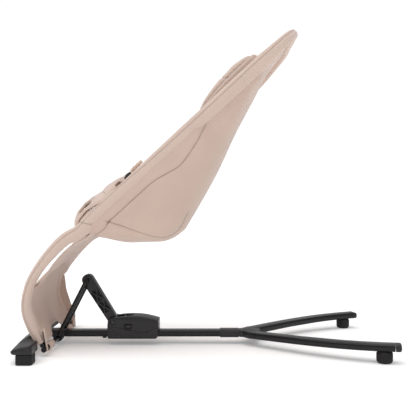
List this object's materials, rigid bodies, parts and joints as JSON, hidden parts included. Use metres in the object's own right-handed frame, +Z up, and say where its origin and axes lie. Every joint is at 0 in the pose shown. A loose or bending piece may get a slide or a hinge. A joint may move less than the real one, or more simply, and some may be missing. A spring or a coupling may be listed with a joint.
{
  "type": "bouncer seat",
  "caption": "Baby bouncer seat: beige fabric bucket on a bent tube frame, hinged on a low black base with a front bar, centre beam and Y-shaped rear legs; a sliding hub reclines it.",
  "frame": {"origin": "middle of the bounding box on the floor", "axes": "+X along the length from the foot end to the head end, +Y to the baby's right, +Z up from the floor"},
  "size_m": [0.7769, 0.43, 0.6892],
  "materials": {
    "beige_fabric": "soft woven cotton",
    "pale_fabric": "soft woven cotton, padded",
    "black_plastic": "satin moulded",
    "black_metal": "satin powder coat",
    "foot_rubber": "matt",
    "screw_steel": "dull zinc",
    "tan_plastic": "matt, wood-coloured"
  },
  "bodies": {
    "base": {"front_bar": "black_plastic", "front_bar_cap_left": "black_plastic", "front_bar_cap_right": "black_plastic", "front_foot_left": "foot_rubber", "front_foot_right": "foot_rubber", "hinge_block": "black_plastic", "hinge_block_screw_left": "screw_steel", "hinge_block_screw_right": "screw_steel", "centre_beam": "black_metal", "stop_stud": "foot_rubber", "fork_socket": "black_plastic", "fork_block": "black_plastic", "rear_leg_left": "black_metal", "rear_leg_right": "black_metal", "rear_leg_cap_left": "black_plastic", "rear_leg_cap_right": "black_plastic", "rear_foot_left": "foot_rubber", "rear_foot_right": "foot_rubber"},
    "seat": {"crank_bail": "black_metal", "cross_tube": "black_metal", "cross_tube_plug_left": "black_plastic", "cross_tube_plug_right": "black_plastic", "side_tube_left": "black_metal", "side_tube_right": "black_metal", "top_bow_tube": "black_metal", "lower_sleeve_left": "beige_fabric", "lower_sleeve_right": "beige_fabric", "rim_sleeve_left": "pale_fabric", "rim_sleeve_right": "pale_fabric", "rim_sleeve_top": "pale_fabric", "seat_sling": "beige_fabric", "seat_pad": "pale_fabric", "head_panel": "beige_fabric", "front_panel": "beige_fabric", "hem_loop_left": "beige_fabric", "hem_loop_right": "beige_fabric", "headrest_back": "pale_fabric", "headrest_wing_left": "pale_fabric", "headrest_wing_right": "pale_fabric", "restraint_panel": "pale_fabric", "toggle_left": "tan_plastic", "toggle_right": "tan_plastic"},
    "link": {"link_arm": "black_plastic"},
    "hub": {"hub_lower_shell": "black_plastic", "hub_upper_shell": "black_plastic", "hub_screw_left": "screw_steel", "hub_screw_right": "screw_steel"},
    "button_left": {"hub_button_left": "black_plastic"},
    "button_right": {"hub_button_right": "black_plastic"},
    "lock_slider": {"hub_lock_slider": "black_plastic"}
  },
  "joints": [
    {"name": "seat_recline", "type": "hinge", "parent": "base", "child": "seat", "pos_m": [-0.3291, 0, 0.015], "axis": [0, 1, 0], "range_deg": [0, 33]},
    {"name": "link_swing", "type": "hinge", "parent": "seat", "child": "link", "pos_m": [-0.26352, 0, 0.14399], "axis": [0, 1, 0], "range_deg": [-71.5, 0]},
    {"name": "hub_slide", "type": "slide", "parent": "base", "child": "hub", "axis": [1, 0, 0], "range_m": [0, 0.1045]},
    {"name": "release_left", "type": "slide", "parent": "hub", "child": "button_left", "axis": [0, 1, 0], "range_m": [0, 0.0025], "stiffness_N_per_m": 300, "springref_m": -0.002},
    {"name": "release_right", "type": "slide", "parent": "hub", "child": "button_right", "axis": [0, -1, 0], "range_m": [0, 0.0025], "stiffness_N_per_m": 300, "springref_m": -0.002},
    {"name": "lock_slide", "type": "slide", "parent": "hub", "child": "lock_slider", "axis": [1, 0, 0], "range_m": [0, 0.005]}
  ],
  "couplings": [
    {"joint": "hub_slide", "follows": "seat_recline", "m_per_rad": 0.18123},
    {"joint": "link_swing", "follows": "seat_recline", "ratio": -2.1611}
  ]
}
